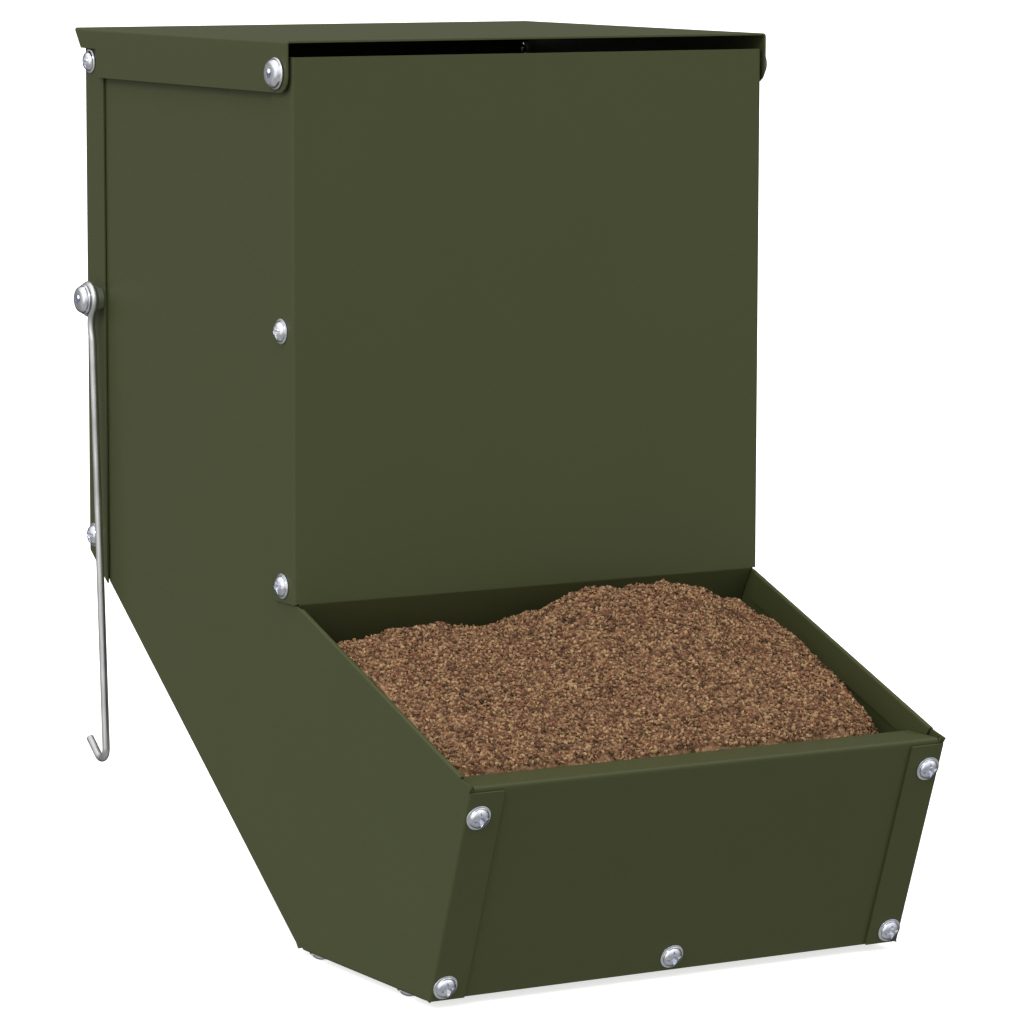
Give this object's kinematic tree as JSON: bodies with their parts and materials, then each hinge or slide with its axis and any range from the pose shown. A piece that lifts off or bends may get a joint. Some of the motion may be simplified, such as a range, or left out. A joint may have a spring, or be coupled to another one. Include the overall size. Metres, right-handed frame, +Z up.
{
  "type": "hanging poultry feeder",
  "caption": "Gravity feeder of folded olive painted sheet steel: lidded hopper above, open feed trough in front, wire hooks at the rear sides for hanging.",
  "frame": {"origin": "middle of the back face, level with the hook pivots, where the feeder hangs against a fence or a wall", "axes": "+Z up, +Y out of the back face (away from the trough), +X to the right as seen from the front"},
  "size_m": [0.219, 0.3078, 0.3343],
  "materials": {
    "olive_powder_coat": "satin powder coat, fine orange peel",
    "zinc_plated_steel": "bright zinc plating, slightly blue",
    "steel_wire": "drawn wire, plain zinc finish"
  },
  "bodies": {
    "housing": {"back_panel": "olive_powder_coat", "base_front_left_nut": "zinc_plated_steel", "base_front_left_screw": "zinc_plated_steel", "base_front_right_nut": "zinc_plated_steel", "base_front_right_screw": "zinc_plated_steel", "base_rear_left_nut": "zinc_plated_steel", "base_rear_left_screw": "zinc_plated_steel", "base_rear_right_nut": "zinc_plated_steel", "base_rear_right_screw": "zinc_plated_steel", "floor_panel": "olive_powder_coat", "front_lower_left_nut": "zinc_plated_steel", "front_lower_left_screw": "zinc_plated_steel", "front_lower_right_nut": "zinc_plated_steel", "front_lower_right_screw": "zinc_plated_steel", "front_middle_left_nut": "zinc_plated_steel", "front_middle_left_screw": "zinc_plated_steel", "front_middle_right_nut": "zinc_plated_steel", "front_middle_right_screw": "zinc_plated_steel", "hook_bush_left": "zinc_plated_steel", "hook_bush_right": "zinc_plated_steel", "hook_left_bolt": "zinc_plated_steel", "hook_left_nut": "zinc_plated_steel", "hook_right_bolt": "zinc_plated_steel", "hook_right_nut": "zinc_plated_steel", "hopper_front_panel": "olive_powder_coat", "lid_hinge_left_bolt": "zinc_plated_steel", "lid_hinge_left_nut": "zinc_plated_steel", "lid_hinge_right_bolt": "zinc_plated_steel", "lid_hinge_right_nut": "zinc_plated_steel", "lid_hinge_washer_left": "zinc_plated_steel", "lid_hinge_washer_right": "zinc_plated_steel", "rear_lower_left_nut": "zinc_plated_steel", "rear_lower_left_screw": "zinc_plated_steel", "rear_lower_right_nut": "zinc_plated_steel", "rear_lower_right_screw": "zinc_plated_steel", "rear_upper_left_nut": "zinc_plated_steel", "rear_upper_left_screw": "zinc_plated_steel", "rear_upper_right_nut": "zinc_plated_steel", "rear_upper_right_screw": "zinc_plated_steel", "side_panel_left": "olive_powder_coat", "side_panel_right": "olive_powder_coat", "slope_lap_nut": "zinc_plated_steel", "slope_lap_screw": "zinc_plated_steel", "trough_center_nut": "zinc_plated_steel", "trough_center_screw": "zinc_plated_steel", "trough_front_panel": "olive_powder_coat", "trough_lower_left_nut": "zinc_plated_steel", "trough_lower_left_screw": "zinc_plated_steel", "trough_lower_right_nut": "zinc_plated_steel", "trough_lower_right_screw": "zinc_plated_steel", "trough_upper_left_nut": "zinc_plated_steel", "trough_upper_left_screw": "zinc_plated_steel", "trough_upper_right_nut": "zinc_plated_steel", "trough_upper_right_screw": "zinc_plated_steel"},
    "lid": {"lid": "olive_powder_coat"},
    "hook_left": {"hook_rod_left": "steel_wire"},
    "hook_right": {"hook_rod_right": "steel_wire"}
  },
  "joints": [
    {"name": "lid_hinge", "type": "hinge", "parent": "housing", "child": "lid", "pos_m": [0, -0.1667, 0.093], "axis": [1, 0, 0], "range_deg": [0, 100]},
    {"name": "hook_left_pivot", "type": "hinge", "parent": "housing", "child": "hook_left", "pos_m": [-0.1047, -0.0117, 0], "axis": [1, 0, 0], "range_deg": [-95, 180]},
    {"name": "hook_right_pivot", "type": "hinge", "parent": "housing", "child": "hook_right", "pos_m": [0.1047, -0.0117, 0], "axis": [1, 0, 0], "range_deg": [-95, 180]}
  ]
}
